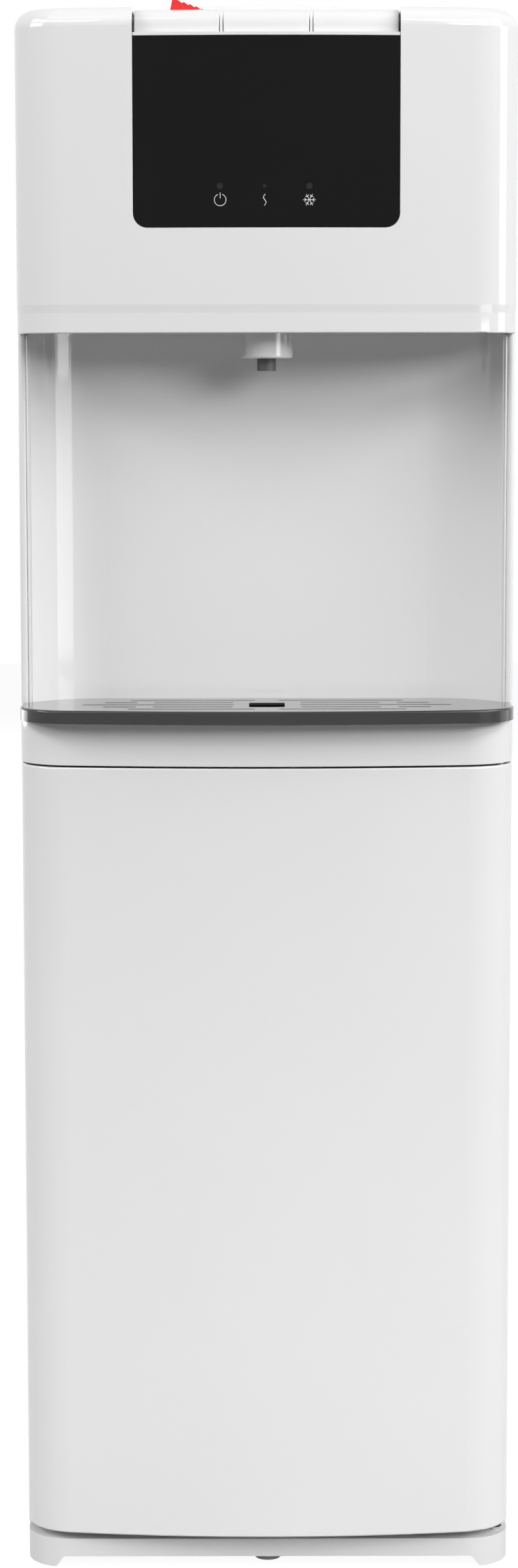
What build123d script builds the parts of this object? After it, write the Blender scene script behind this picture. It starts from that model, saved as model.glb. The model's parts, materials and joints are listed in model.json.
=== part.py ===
from build123d import *
from math import atan2, cos, pi, radians, sin, sqrt
import os

# Water cooler with the bottle in the bottom, in millimetres, +Z up, the front faces -Y
# The values up to the derived places are the ones to change

# Body in plan
body_width = 324.0
overall_depth = 375.5
tray_overhang = 15.0
rear_clearance = 20.0
bow_rise = 14.7
corner_radius = 35.0
cover_depth = 50.0
alcove_depth = 79.0
alcove_bend = 56.0

# Body in height
base_height = 19.6
arch_height = 7.5
door_gap = 5.4
door_height = 514.0
seam_gap = 1.4
apron_height = 28.2
band_height = 9.0
alcove_height = 241.0
head_height = 205.4
dome_rise = 11.8
dome_radius = 850.0
dome_forward = 10.0
top_radius = 12.0
shelf_rise = 5.8
skirt_drop = 2.0

# Walls and clearances
wall = 2.5
sheet = 1.2
side_sheet = 1.5
liner_wall = 2.0
fit_gap = 0.3
snug_gap = 0.2
running_gap = 0.05

# Side panels
nose_width = 5.0
nose_lip = 12.0
nose_radius = 2.2
rear_flange = 14.0
shelf_turn = 14.0

# Base
base_wall = 3.0
base_inset = 1.0
plinth_setback = 13.5
plinth_corner = 28.0
foot_width = 19.5
foot_slope = 5.0
foot_curve = 4.0
foot_length = 42.0
centre_foot_radius = 8.5
centre_foot_setback = 36.0

# Head cover, control panel and keys
lip_height = 13.0
lip_slope = 5.2
lip_setback = 0.5
lip_side = 0.3
lip_edge = 1.0
panel_width = 169.4
panel_height = 119.8
panel_from_top = 18.8
panel_corner = 9.0
panel_recess = 0.4
panel_edge = 0.35
panel_gap = 0.3
ledge_height = 2.0
frame_wall = 2.5
frame_margin = 12.0
lamp_pitch = 28.4
lamp_shift = -1.2
lamp_radius = 2.0
middle_lamp_radius = 1.2
lamp_height = 25.8
key_end_gap = 1.0
key_rib = 1.6
key_gap = 0.6
key_wall = 2.0
key_recess = 5.8
key_drop = 1.5
key_radius = 10.0
key_skirt = 4.4
key_tail = 2.0
key_edge = 0.6
key_travel = 4.0
pivot_radius = 1.5
pivot_from_tail = 4.0
pivot_below_top = 14.5
spring_radius = 4.0
spring_wire = 0.9
spring_turns = 4
spring_setback = 20.0
switch_setback = 32.0
lock_length = 21.0
lock_width = 16.0
lock_rise = 6.5
lock_travel = 10.0
lock_pocket = 1.0
lock_edge = 0.35
lock_from_end = 22.6
lock_setback = 22.0

# Nozzle
nozzle_radius = 17.0
nozzle_drop = 16.0
spigot_radius = 10.0
nozzle_setback = 34.0
spout_radius = 6.1
spout_wall = 1.4
spout_drop = 8.0
spout_stub = 26.5
nozzle_edge = 1.5
spigot_rise = 8.5
valve_pitch = 44.0
valve_half = 11.0
valve_height = 14.0
coil_radius = 12.0
coil_height = 26.0
port_radius = 4.0
port_height = 7.0
port_reach = 17.0

# Tray, deck and apron
apron_inset = 0.2
band_side = -0.8
band_wall = 2.2
band_radius = 1.5
grille_plate = 1.6
tray_gap = 0.5
slot_width = 3.4
slot_pitch = 14.5
slot_centre = 33.5
hole_width = 23.4
hole_depth = 29.0
basin_half = 124.0
basin_front = 4.4
basin_back = 8.0
basin_corner = 22.0
basin_depth = 17.5
basin_wall = 2.0
basin_flange = 3.0

# Door and its hinges
door_side = 0.4
door_seam = 4.0
door_edge = 1.2
swing_clearance = 1.0
hinge_inset = 9.0
hinge_plate = 1.8
hinge_pin = 2.5
hinge_reach = 11.0
bush_radius = 4.4
strike_plate = 1.2

# Probe in the bottle space
probe_side = 32.0
probe_back = 32.0
dip_radius = 7.0
dip_length = 430.0
cap_radius = 26.0
cap_height = 30.0
hose_radius = 5.0
hose_length = 24.0

# Tanks, pump and compressor
cold_radius = 72.0
cold_height = 146.0
cold_from_rear = 121.0
foam_wall = 22.0
cold_bend = 8.0
lid_height = 4.0
lid_stub = 7.0
lid_stub_rise = 5.0
lid_stub_forward = 30.0
hot_radius = 48.0
hot_height = 170.0
hot_from_side = 84.0
hot_from_rear = 89.0
hot_stand = 16.0
hot_bend = 10.0
stand_wall = 2.0
jacket_wall = 10.0
jacket_short = 30.0
pump_from_side = 102.0
pump_from_alcove = 46.0
pump_half = 40.0
pump_depth = 36.0
pump_height = 42.0
pump_foot = 4.0
can_radius = 62.0
can_height = 138.0
can_from_side = 90.0
can_from_rear = 101.0
can_dome = 26.0
can_seam = 4.0
can_seam_height = 58.0
can_seam_reach = 2.5
can_plate = 3.0
can_plate_half = 72.0
can_plate_deep = 56.0
can_plate_corner = 12.0
grommet_height = 12.0
grommet_radius = 10.0
grommet_neck = 3.8
grommet_rise = 8.0
grommet_inset = 12.0

board_stand = 6.0
board_from_alcove = 53.5
board_from_rear = 66.0
board_height = 96.0
board_sheet = 1.6
board_parts = 24.4

# Rear fittings
run_count = 13
run_length = 236.0
run_bottom = 130.0
run_from_shelf = 43.0
run_end = 16.0
bracket_offset = 66.0
tube_radius = 2.4
wire_radius = 0.7
wire_pitch = 10.0
wire_count = 19
wire_tail = 12.0
vent_offset = 62.0
vent_start = 50.0
vent_pitch = 14.0
vent_rows = 14
vent_length = 96.0
vent_width = 5.0
screw_radius = 1.75
screw_head = 3.6
rocker_width = 13.0
rocker_height = 19.0
rocker_travel = 16.0
rocker_pin = 0.9
drain_radius = 9.0
drain_height = 13.0
drain_pipe = 7.0
drain_bore = 5.0
drain_reach = 11.0
drain_collar = 6.0
cap_outer = 12.0
cap_depth = 9.0
cap_edge = 1.0

# Derived places across and along
half_width = body_width / 2
bow_radius = (half_width ** 2 + bow_rise ** 2) / (2 * bow_rise)
front_y = -overall_depth / 2 + tray_overhang
rear_y = overall_depth / 2 - rear_clearance
seam_y = front_y + cover_depth
alcove_y = front_y + alcove_depth
nose_in = half_width - nose_width
liner_half = nose_in - fit_gap
liner_front = seam_y + side_sheet + fit_gap
tongue_half = liner_half - liner_wall - tray_gap
shelf_half = half_width - side_sheet - fit_gap
shelf_front = seam_y + nose_lip + tray_gap
shelf_back = rear_y - 2 * sheet - fit_gap
door_back = seam_y - door_seam
notch_half = panel_width / 2 + panel_gap
key_row = 2 * (notch_half - key_end_gap)
key_width = (key_row - 2 * (key_rib + 2 * key_gap)) / 3
key_pitch = key_width + key_rib + 2 * key_gap
key_back = seam_y - key_tail
pivot_y = key_back - pivot_from_tail
frame_back = wall + snug_gap + frame_wall
cold_y = rear_y - cold_from_rear
hot_x = half_width - hot_from_side
hot_y = rear_y - hot_from_rear
can_x = -half_width + can_from_side
can_y = rear_y - can_from_rear

# The door's rear corner swings about the pin and stays clear of the side panel
hinge_x = half_width - hinge_inset
hinge_setback = (hinge_inset ** 2 + door_seam ** 2 - swing_clearance ** 2) / (
    2 * (door_seam - swing_clearance)
)
hinge_y = seam_y - hinge_setback

# Derived heights
door_low = base_height + door_gap
door_top = door_low + door_height
apron_low = door_top + seam_gap
deck_top = apron_low + apron_height
tray_top = deck_top + band_height
head_low = tray_top + alcove_height
head_top = head_low + head_height
skirt_low = head_top - top_radius - skirt_drop
shelf_top = apron_low + shelf_rise
shelf_low = shelf_top - sheet
panel_top = head_top - panel_from_top
panel_low = panel_top - panel_height
ledge_top = panel_top + snug_gap + ledge_height
key_top = head_top - key_drop
key_low = ledge_top - key_skirt
pivot_z = key_top - pivot_below_top
key_dip = (pivot_y - front_y) * sin(radians(key_travel))
bay_floor = key_low - key_dip - 1.0
tank_floor = head_low + liner_wall + wall
basin_low = deck_top - basin_depth
grille_low = tray_top - grille_plate
run_pitch = (shelf_low - run_from_shelf - run_bottom) / (run_count - 1)


# Closed plan face with a bowed front, rounded front corners and straight sides
def bowed_face(half, front, bow, corner, back):
    centre_y = front + bow
    corner_x = half - corner
    corner_y = centre_y - sqrt((bow - corner) ** 2 - corner_x ** 2)
    reach = bow / (bow - corner)
    meet = (corner_x * reach, centre_y + (corner_y - centre_y) * reach)
    turn = (atan2(corner_x, centre_y - corner_y) + pi / 2) / 2
    middle = (corner_x + corner * sin(turn), corner_y - corner * cos(turn))
    return make_face([
        Line((-half, back), (-half, corner_y)),
        ThreePointArc((-half, corner_y), (-middle[0], middle[1]), (-meet[0], meet[1])),
        ThreePointArc((-meet[0], meet[1]), (0, front), meet),
        ThreePointArc(meet, middle, (half, corner_y)),
        Line((half, corner_y), (half, back)),
        Line((half, back), (-half, back)),
    ])


def body_face(inset, back):
    bow, corner = bow_radius - inset, corner_radius - inset
    return bowed_face(half_width - inset, front_y + inset, bow, corner, back)


def rect(x0, x1, y0, y1):
    return Pos((x0 + x1) / 2, (y0 + y1) / 2) * Rectangle(x1 - x0, y1 - y0)


def raised(face, low, high):
    return Pos(0, 0, low) * extrude(face, amount=high - low, dir=(0, 0, 1))


def block(x0, x1, y0, y1, z0, z1):
    middle = Pos((x0 + x1) / 2, (y0 + y1) / 2, (z0 + z1) / 2)
    return middle * Box(x1 - x0, y1 - y0, z1 - z0)


# A profile drawn as X and Z, drawn out along Y
def along_y(profile, y0, y1):
    return extrude(Pos(0, y0, 0) * (Plane.XZ * profile), amount=y1 - y0, dir=(0, 1, 0))


def rod(radius, length):
    return Cylinder(radius, length, align=(Align.CENTER, Align.CENTER, Align.MIN))


def rod_x(radius, y, z, x0, x1):
    return Pos(x0, y, z) * Rot(0, 90, 0) * rod(radius, x1 - x0)


def rod_y(radius, x, z, y0, y1):
    return Pos(x, y0, z) * Rot(-90, 0, 0) * rod(radius, y1 - y0)


def rod_z(radius, x, y, z0, z1):
    return Pos(x, y, z0) * rod(radius, z1 - z0)


def ring_z(outer, inner, x, y, z0, z1):
    return rod_z(outer, x, y, z0, z1) - rod_z(inner, x, y, z0, z1)


def round_top(part, radius):
    edges = part.edges().group_by(Axis.Z)[-1]
    return fillet(edges.filter_by(GeomType.LINE, reverse=True), radius)


# Wall that follows the front of the body, between two depths under its surface
def bowed_wall(outer, inner, half, low, high):
    shell = raised(body_face(outer, rear_y), low, high)
    shell -= raised(body_face(inner, rear_y), low, high)
    return shell & block(-half, half, front_y - 1, seam_y, low, high)


# Casing

def plinth_face(inset):
    half = half_width - base_inset - inset
    face = rect(-half, half, front_y + plinth_setback + inset, rear_y - inset)
    corners = face.vertices().group_by(Axis.Y)[0]
    return fillet(corners, plinth_corner - inset)


def base_plinth():
    half = half_width - base_inset
    front = front_y + plinth_setback
    shell = raised(plinth_face(0), 0, base_height)
    pads = shell & (
        block(-half, -half + foot_length, front, front + foot_length, 0, base_height)
        + block(half - foot_length, half, front, front + foot_length, 0, base_height)
        + block(-half, -half + foot_length, rear_y - foot_length, rear_y, 0, base_height)
        + block(half - foot_length, half, rear_y - foot_length, rear_y, 0, base_height)
    )
    shell -= raised(plinth_face(base_wall), 0, base_height - base_wall)
    shell += pads
    shell -= along_y(arch_profile(-half + foot_width, half - foot_width), front - 1, rear_y + 1)
    side = arch_profile(front + foot_length - foot_slope, rear_y - foot_length + foot_slope)
    return shell - extrude(Plane.YZ * side, amount=half + 1, both=True)


# Opening under an edge that curves down to a foot at each end, as distance and height
def arch_profile(start, end):
    low, ground = -1.0, -running_gap
    beyond = 2 * foot_curve
    corners = [
        (start - beyond, low),
        (start - beyond, ground),
        (start, ground),
        (start + foot_slope, arch_height),
        (end - foot_slope, arch_height),
        (end, ground),
        (end + beyond, ground),
        (end + beyond, low),
    ]
    profile = make_face(Polyline(*corners, close=True))
    turns = [v for v in profile.vertices() if start - 1 < v.X < end + 1]
    return fillet(turns, foot_curve)


def centre_foot():
    y = front_y + centre_foot_setback
    stem = rod_z(centre_foot_radius / 2, 0, y, arch_height, base_height - base_wall)
    return rod_z(centre_foot_radius, 0, y, 0, arch_height) + stem


def side_panel_right():
    outer = half_width
    back = rear_y - sheet
    profile = rect(outer - side_sheet, outer, seam_y, back)
    profile += rect(nose_in, outer, seam_y, seam_y + side_sheet)
    profile += rect(nose_in, nose_in + side_sheet, seam_y, seam_y + nose_lip)
    profile += rect(outer - rear_flange, outer, back - sheet, back)
    profile = fillet(profile.vertices().group_by(Axis.Y)[0], nose_radius)
    panel = raised(profile, base_height, skirt_low - fit_gap)
    return panel - screw_bores()


def side_panel_left():
    return mirror(side_panel_right(), about=Plane.YZ)


def screw_places():
    low, high = base_height + 20.0, skirt_low - 20.0
    heights = [low + (high - low) * step / 5 for step in range(6)]
    across = half_width - rear_flange / 2
    return [(side * across, height) for side in (-1, 1) for height in heights]


def screw_bores():
    bores = [rod_y(screw_radius + fit_gap, x, z, rear_y - 6, rear_y + 1) for x, z in screw_places()]
    return Part() + bores


def rear_panel_screws():
    screws = []
    for x, z in screw_places():
        shank = rod_y(screw_radius, x, z, rear_y - 5, rear_y)
        screws.append(shank + rod_y(screw_head, x, z, rear_y, rear_y + 2.2))
    return Part() + screws


def rocker_places():
    z = head_low + 0.45 * head_height
    return [(-half_width + 52.0, z), (-half_width + 52.0 + 2 * rocker_width, z)]


def gland_place():
    return -half_width + 32.0, shelf_top + 26.0


def drain_place():
    return hot_x, shelf_top + drain_height


def rear_panel():
    half = half_width - 1.0
    panel = block(-half, half, rear_y - sheet, rear_y, base_height, skirt_low - fit_gap)
    slots = [
        Pos(side * vent_offset, shelf_top + vent_start + vent_pitch * row)
        * SlotOverall(vent_length, vent_width)
        for side in (-1, 1)
        for row in range(vent_rows)
    ]
    cuts = along_y(Sketch() + slots, rear_y - 2 * sheet, rear_y + 1)
    panel -= cuts
    panel -= screw_bores()
    for x, z in rocker_places():
        cut = Pos(x, z) * Rectangle(rocker_width, rocker_height)
        panel -= along_y(cut, rear_y - 2 * sheet, rear_y + 1)
    x, z = drain_place()
    panel -= rod_y(drain_radius + fit_gap, x, z, rear_y - 3, rear_y + 1)
    x, z = gland_place()
    return panel - rod_y(6.0 + fit_gap, x, z, rear_y - 3, rear_y + 1)


# Flat shelf between the side panels, turned down at both sides
def shelf(front, low, top):
    plate = block(-shelf_half, shelf_half, front, shelf_back, top - sheet, top)
    for side in (-1, 1):
        edge = sorted((side * shelf_half, side * (shelf_half - sheet)))
        plate += block(edge[0], edge[1], front, shelf_back - rear_flange, low, top)
    return plate


def mid_shelf():
    hose = rod_z(hose_radius + snug_gap, *probe_place(), shelf_low - 1, shelf_top + 1)
    return shelf(shelf_front, shelf_top - shelf_turn, shelf_top) - hose


def tank_shelf():
    return shelf(alcove_y + liner_wall + fit_gap, tank_floor - shelf_turn, tank_floor)


def dome(inset):
    centre = Pos(0, -dome_forward, head_top + dome_rise - dome_radius)
    ball = centre * Sphere(dome_radius - inset)
    front, back = seam_y + inset, rear_y - inset
    low = head_top - inset - 0.5
    return ball & block(-half_width, half_width, front, back, low, head_top + dome_rise)


def top_cover():
    def body(inset, low):
        half = half_width - inset
        part = block(-half, half, seam_y + inset, rear_y - inset, low, head_top - inset)
        edges = part.edges().filter_by(Axis.Y).group_by(Axis.Z)[-1]
        return fillet(edges, top_radius - inset) + dome(inset)

    return body(0, skirt_low) - body(wall, skirt_low - 1)


def head_cover():
    back = seam_y - fit_gap
    crease = head_low + lip_height + lip_slope
    lip_high = head_low + lip_height
    lip_half = half_width - lip_side
    lip_front = front_y + lip_setback
    lip = bowed_face(lip_half, lip_front, bow_radius, corner_radius, back)
    lip_core = bowed_face(
        lip_half - wall, lip_front + wall, bow_radius - wall, corner_radius - wall, seam_y + 1
    )
    full = body_face(0, back)
    cover = round_top(raised(full, crease, head_top), top_radius)
    cover += loft([Pos(0, 0, lip_high) * lip, Pos(0, 0, crease) * full], ruled=True)
    rim = raised(lip, head_low, lip_high)
    cover += fillet(rim.edges().group_by(Axis.Z)[0].sort_by(Axis.Y)[:-1], lip_edge)
    cover -= raised(lip_core, head_low + wall, crease)
    cover -= round_top(
        raised(body_face(wall, seam_y + 1), crease, head_top - wall), top_radius - wall
    )
    half = liner_half - liner_wall
    cover += block(-half, half, back - 1, liner_front - fit_gap, head_low, head_low + wall)
    notch = rect(-notch_half, notch_half, panel_low - panel_gap, head_top + 1)
    notch = fillet(notch.vertices().group_by(Axis.Y)[0], panel_corner + panel_gap)
    cover -= along_y(notch, front_y - 1, seam_y + 1)
    x, y = nozzle_place()
    return cover - rod_z(spigot_radius + snug_gap, x, y, head_low - 1, head_low + wall + 1)


# Plan of the alcove: a flat back and two wide bends that run out to the side panels
def alcove_face(inset, half, front):
    bend = alcove_bend - inset
    back = alcove_y - inset
    outer = alcove_bend + liner_wall
    span = alcove_y + liner_wall - liner_front
    flat = liner_half - sqrt(outer ** 2 - (outer - span) ** 2)
    face = rect(-flat - bend, flat + bend, back - 2 * alcove_bend, back)
    face = fillet(face.vertices().group_by(Axis.Y)[-1], bend)
    return face & rect(-half, half, front, back + 1)


def alcove_panel():
    high = head_low + liner_wall
    panel = raised(alcove_face(-liner_wall, liner_half, liner_front), shelf_top, high)
    return panel - raised(alcove_face(0, liner_half, liner_front - 1), shelf_top, head_low)


# Apron under the tray, with the deck that the tray hangs in

def deck_face(half, front, inset):
    return bowed_face(half - inset, front + inset, bow_radius - inset, corner_radius - inset,
                      seam_y - fit_gap + 4 * inset)


def basin_face(inset):
    face = bowed_face(
        basin_half - inset,
        front_y + basin_front + inset,
        bow_radius,
        basin_corner - inset,
        alcove_y - basin_back - inset,
    )
    return fillet(face.vertices().group_by(Axis.Y)[-1], basin_corner - inset)


def tray_deck():
    half = half_width - apron_inset

    def skirt(inset, high):
        return raised(deck_face(half, front_y + apron_inset, inset), apron_low, high)

    deck = skirt(0, deck_top) - skirt(wall, deck_top - wall)
    deck += raised(alcove_face(tray_gap, tongue_half, seam_y - 2), deck_top - wall, deck_top)
    for side in (-1, 1):
        edge = sorted((side * (basin_half + 3), side * (basin_half + 6)))
        deck += block(edge[0], edge[1], shelf_front + 2, alcove_y - 9, shelf_top, deck_top)
    return deck - raised(basin_face(-fit_gap), deck_top - wall - 1, deck_top + 1)


def drip_tray():
    basin = raised(basin_face(0), basin_low, grille_low)
    basin += raised(basin_face(-basin_flange), deck_top, deck_top + basin_wall)
    return basin - raised(basin_face(basin_wall), basin_low + basin_wall, grille_low)


# Slots of one side of the grille as row, start and end from the middle
slot_table = [
    (-2, 7.5, 90.5),
    (-1, 22.0, 74.6),
    (-1, 85.0, 107.0),
    (0, 21.5, 121.0),
    (1, 22.0, 74.6),
    (1, 85.0, 107.0),
    (2, 7.5, 90.5),
]


def drip_grille():
    def band(inset):
        return bowed_face(
            half_width + band_side - inset,
            -overall_depth / 2 + inset,
            bow_radius - inset,
            corner_radius + band_side - inset,
            seam_y - tray_gap + 3 * inset,
        )

    grille = raised(band(0), deck_top + fit_gap, tray_top)
    top = grille.edges().group_by(Axis.Z)[-1].sort_by(Axis.Y)[:-1]
    grille = fillet(top, band_radius)
    grille -= raised(band(band_wall), deck_top, grille_low)
    grille += raised(alcove_face(tray_gap, tongue_half, seam_y - 4), grille_low, tray_top)
    middle = front_y + slot_centre
    slots = [
        Pos(side * (start + end) / 2, middle + row * slot_pitch)
        * SlotOverall(end - start, slot_width)
        for side in (-1, 1)
        for row, start, end in slot_table
    ]
    hole = Pos(0, middle - 2) * RectangleRounded(hole_width, hole_depth, 2.0)
    return grille - raised(Sketch() + slots + hole, grille_low - 1, tray_top + 1)


# Controls

def control_panel():
    face = rect(-panel_width / 2, panel_width / 2, panel_low, panel_top)
    face = fillet(face.vertices().group_by(Axis.Y)[0], panel_corner)
    panel = bowed_wall(panel_recess, wall, panel_width / 2 + 1, panel_low, panel_top)
    panel &= along_y(face, front_y - 1, seam_y)
    front = panel.faces().sort_by(Axis.Y)[0]
    return fillet(front.edges(), panel_edge) - lamp_rods(running_gap)


def lamp_rods(slack):
    z = panel_low + lamp_height
    lamps = [(-lamp_pitch, lamp_radius), (0, middle_lamp_radius), (lamp_pitch, lamp_radius)]
    low, high = front_y - 1, front_y + frame_back
    return Part() + [rod_y(r + slack, lamp_shift + x, z, low, high) for x, r in lamps]


def lamp_lenses():
    z = panel_low + lamp_height
    reach = 2 * lamp_radius
    half = lamp_pitch - lamp_shift + reach
    slab = bowed_wall(panel_recess, wall, half, z - reach, z + reach)
    return slab & lamp_rods(0)


# Solid with the outline of the key row, rounded along its top front edge
def key_bar(inset, low, high, back):
    half = notch_half + frame_margin
    face = body_face(key_recess + inset, rear_y) & rect(-half, half, front_y, back)
    return round_top(raised(face, low, high), key_radius - inset)


def key_middle(step):
    return step * key_pitch


def control_frame():
    half = notch_half + frame_margin
    front = wall + snug_gap
    frame = bowed_wall(front, frame_back, half, panel_low - frame_margin, ledge_top)
    frame += bowed_wall(
        panel_recess, frame_back, panel_width / 2, panel_top + snug_gap, ledge_top
    )
    floor = raised(body_face(front + 0.5, rear_y), bay_floor - wall, bay_floor)
    frame += floor & block(-half, half, front_y, key_back, bay_floor - wall, bay_floor)
    ribs = key_bar(fit_gap, bay_floor - wall, key_top - fit_gap, key_back)
    for side in (-1, 1):
        x = side * key_pitch / 2
        frame += ribs & block(
            x - key_rib / 2, x + key_rib / 2, front_y, seam_y, bay_floor - 1, key_top
        )
        cheek = sorted((side * (notch_half + fit_gap), side * (notch_half + fit_gap + wall)))
        frame += ribs & block(
            cheek[0], cheek[1], front_y, seam_y, bay_floor - 1, skirt_low
        )
    bore = rod_x(pivot_radius + running_gap, pivot_y, pivot_z, -half, half)
    return frame - bore


def control_board():
    half = panel_width / 2 - 14.0
    sag = bow_radius - sqrt(bow_radius ** 2 - half ** 2)
    front = front_y + frame_back + sag + fit_gap
    board = block(-half, half, front, front + board_sheet, panel_low + 6, panel_top - 24)
    back = front + board_sheet
    z = (panel_low + panel_top) / 2
    board += block(-16, 16, back, back + 3, z - 16, z + 16)
    board += block(30, 62, back, back + 9, z - 22, z - 6)
    return board


def key_pivot_rod():
    reach = notch_half + fit_gap + wall
    return rod_x(pivot_radius, pivot_y, pivot_z, -reach, reach)


def piano_key(step):
    middle = key_middle(step)
    low, high = middle - key_width / 2, middle + key_width / 2
    key = key_bar(0, key_low, key_top, key_back)
    key &= block(low, high, front_y, seam_y, key_low, key_top)
    rims = [edge for side in key.faces().filter_by(Axis.X) for edge in side.edges()]
    key = fillet(
        [e for e in rims if e.center().Z > key_low + key_edge and e.center().Y < key_back - key_edge],
        key_edge,
    )
    core = key_bar(key_wall, key_low - 1, key_top - key_wall, key_back - key_wall)
    key -= core & block(
        low + key_wall, high - key_wall, front_y, seam_y, key_low - 1, key_top
    )
    return key - rod_x(pivot_radius + running_gap, pivot_y, pivot_z, low - 1, high + 1)


def lock_start():
    return key_middle(-1) - key_width / 2 + lock_from_end


def lock_y():
    return front_y + key_recess + lock_setback


def key_hot():
    x0 = lock_start() - lock_travel - fit_gap
    x1 = lock_start() + lock_length + fit_gap
    y0, y1 = lock_y() - lock_width / 2 - fit_gap, lock_y() + lock_width / 2 + fit_gap
    return piano_key(-1) - block(x0, x1, y0, y1, key_top - lock_pocket, key_top + 1)


def key_room():
    return piano_key(0)


def key_cold():
    return piano_key(1)


# Wedge with four finger steps that rise towards its left end
def child_lock():
    x0, x1 = lock_start(), lock_start() + lock_length
    low, high = key_top - lock_pocket, key_top + lock_rise
    corners = [(x0, low), (x0 + 1.6, high), (x0 + 5.0, high)]
    run = (x1 - x0 - 5.0) / 4
    fall = (lock_rise - 1.2) / 4
    for step in range(4):
        x, z = x0 + 5.0 + step * run, high - step * fall
        corners += [(x + 0.7 * run, z - 1.5 * fall), (x + run, z - fall)]
    corners += [(x1, low)]
    y0, y1 = lock_y() - lock_width / 2, lock_y() + lock_width / 2
    profile = make_face(Polyline(*corners, close=True))
    tips = [v for v in profile.vertices() if v.Y > low + lock_edge]
    return along_y(fillet(tips, lock_edge), y0, y1)


# Compression spring of half turns between the bay floor and the key
def key_spring(step):
    y = front_y + key_recess + spring_setback
    low = bay_floor + spring_wire / 2 + running_gap
    high = key_top - key_wall - spring_wire / 2 - running_gap
    rise = (high - low) / (2 * spring_turns)
    r = spring_radius - spring_wire / 2
    arcs = []
    for half_turn in range(2 * spring_turns):
        side = 1 if half_turn % 2 == 0 else -1
        z = low + half_turn * rise
        arcs.append(ThreePointArc((side * r, 0, z), (0, side * r, z + rise / 2), (-side * r, 0, z + rise)))
    path = Wire(arcs)
    section = Plane(origin=path @ 0, z_dir=path % 0) * Rectangle(spring_wire, spring_wire)
    coil = sweep(section, path=path)
    slab = block(-9, 9, -9, 9, low - spring_wire / 2, high + spring_wire / 2)
    return Pos(key_middle(step), y, 0) * (coil & slab)


def key_switches():
    y = front_y + key_recess + switch_setback
    high = key_top - key_wall - key_dip / 2 - fit_gap
    switches = []
    for step in (-1, 0, 1):
        x = key_middle(step)
        case = block(x - 6.5, x + 6.5, y - 3, y + 3, bay_floor, high - 5)
        switches.append(case + rod_z(1.5, x, y, high - 5, high))
    return Part() + switches


# Nozzle and valves

def nozzle_place():
    return 0, front_y + nozzle_setback


def nozzle_housing():
    x, y = nozzle_place()
    body = rod_z(nozzle_radius, x, y, head_low - nozzle_drop, head_low)
    body = fillet(body.edges().group_by(Axis.Z)[0], nozzle_edge)
    body += rod_z(spigot_radius, x, y, head_low, head_low + spigot_rise)
    low, high = head_low - nozzle_drop, head_low + spout_stub
    return body - rod_z(spout_radius + running_gap, x, y, low, high)


def outlet_tube():
    x, y = nozzle_place()
    low = head_low - nozzle_drop - spout_drop
    return ring_z(spout_radius, spout_radius - spout_wall, x, y, low, head_low + spout_stub)


def dispense_valves():
    low = head_low + liner_wall
    y = (seam_y + alcove_y) / 2
    valves = []
    z = low + port_height
    for step in (-1, 0, 1):
        x = valve_pitch * step
        top = low + valve_height
        valve = block(x - valve_half, x + valve_half, y - valve_half, y + valve_half, low, top)
        valve += rod_z(coil_radius, x, y, top, top + coil_height)
        valves.append(valve + rod_y(port_radius, x, z, y - port_reach, y + port_reach))
    return Part() + valves


# Door

def door_face(inset, back):
    half = half_width - door_side - inset
    return bowed_face(half, front_y + inset, bow_radius - inset, corner_radius - inset, back)


def door_panel():
    panel = raised(door_face(0, door_back), door_low, door_top)
    rims = panel.edges().group_by(Axis.Z)
    panel = fillet(rims[0].sort_by(Axis.Y)[:-1] + rims[-1].sort_by(Axis.Y)[:-1], door_edge)
    panel -= raised(door_face(wall, door_back + 1), door_low + wall, door_top - wall)
    return panel - rod_z(bush_radius + running_gap, hinge_x, hinge_y, door_low - 1, door_top + 1)


def door_liner():
    half = half_width - door_side - wall - snug_gap
    low, high = door_low + wall + snug_gap, door_top - wall - snug_gap
    liner = block(-half, half, door_back - liner_wall, door_back, low, high)
    for side in (-1, 1):
        bead = rect(-half + 34, half - 34, low + 30, high - 30)
        middle = (low + high) / 2
        span = sorted((middle + side * 8, middle + side * (high - low - 60) / 2))
        bead &= rect(-half, half, span[0], span[1])
        bead = fillet(bead.vertices(), 14.0)
        liner -= along_y(bead, door_back - 0.8, door_back + 1)
    return liner


def bush(low, high):
    return ring_z(bush_radius, hinge_pin + running_gap, hinge_x, hinge_y, low, high)


def hinge_bushes():
    leaf_top = base_height + hinge_plate
    lower = bush(leaf_top + fit_gap, door_low + wall + hinge_reach)
    return Part() + [lower, bush(door_top - wall - hinge_reach, door_top)]


# Steel leaf fixed to the cabinet, with a rounded arm that reaches out to the pin
def hinge_leaf(low):
    high = low + hinge_plate
    arm = hinge_pin + 1.2
    root = seam_y + side_sheet
    leaf = block(hinge_x - 20, nose_in - tray_gap, root, shelf_front + 26, low, high)
    leaf += block(hinge_x - 2 * arm, hinge_x + arm, hinge_y, root, low, high)
    return leaf + rod_z(arm, hinge_x, hinge_y, low, high)


def upper_hinge():
    low = shelf_low - hinge_plate
    return hinge_leaf(low) + rod_z(hinge_pin, hinge_x, hinge_y, door_top - hinge_reach, low)


def lower_hinge():
    high = base_height + hinge_plate
    pin = rod_z(hinge_pin, hinge_x, hinge_y, high, door_low + hinge_reach)
    return hinge_leaf(base_height) + pin


def catch_magnet():
    x = -half_width + 32.0
    front = door_back + strike_plate + fit_gap
    return block(x - 18, x + 18, front, shelf_front + 10, shelf_low - 14, shelf_low)


def door_strike():
    x = -half_width + 32.0
    return block(x - 14, x + 14, door_back, door_back + strike_plate, shelf_low - 13, shelf_low - 8)


# Bottle probe, hung under the mid shelf

def probe_place():
    return -half_width + probe_side, rear_y - probe_back


def cap_top():
    return shelf_low - hose_length


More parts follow.
